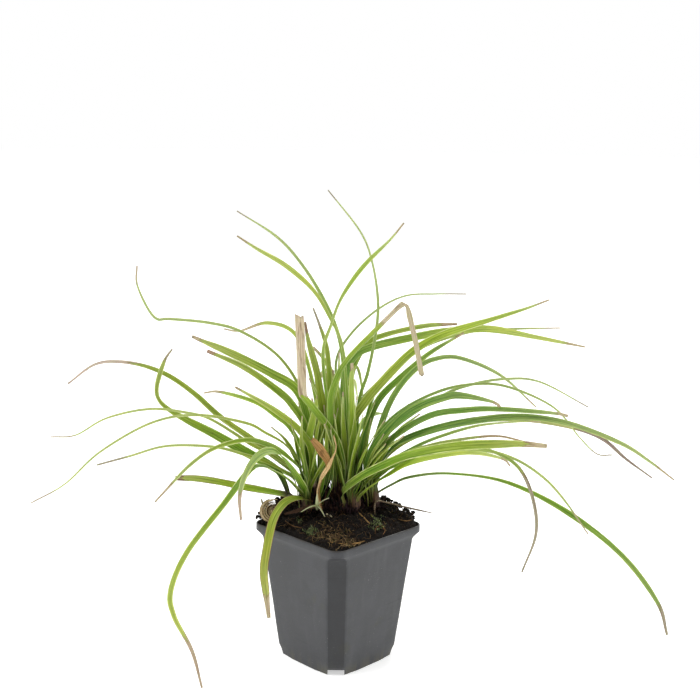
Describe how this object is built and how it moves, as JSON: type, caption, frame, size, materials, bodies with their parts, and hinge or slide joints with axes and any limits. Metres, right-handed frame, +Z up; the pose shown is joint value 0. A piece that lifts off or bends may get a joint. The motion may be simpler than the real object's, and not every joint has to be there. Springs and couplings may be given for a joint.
{
  "type": "potted carex sedge",
  "caption": "Evergreen sedge with long narrow arching blades, growing from one crown in a square tapered nursery pot.",
  "frame": {"origin": "middle of the pot's flat base, on the surface that it stands on", "axes": "+Z up out of the pot, X and Y along the pot's sides"},
  "size_m": [0.4326, 0.4529, 0.3385],
  "materials": {
    "pot": "matte",
    "soil": "matte",
    "leaf": "satin",
    "dry": "matte"
  },
  "bodies": {
    "root": {"pot": "pot", "soil": "soil", "tuft_centre": "leaf", "tuft_left": "leaf", "tuft_front_left": "leaf", "tuft_front_right": "leaf", "tuft_right": "leaf", "tuft_back_right": "leaf", "tuft_back": "leaf", "tuft_back_left": "leaf", "dead_leaves": "dry", "seedling": "dry", "dead_stem": "dry", "straw_coil": "dry"}
  },
  "joints": []
}
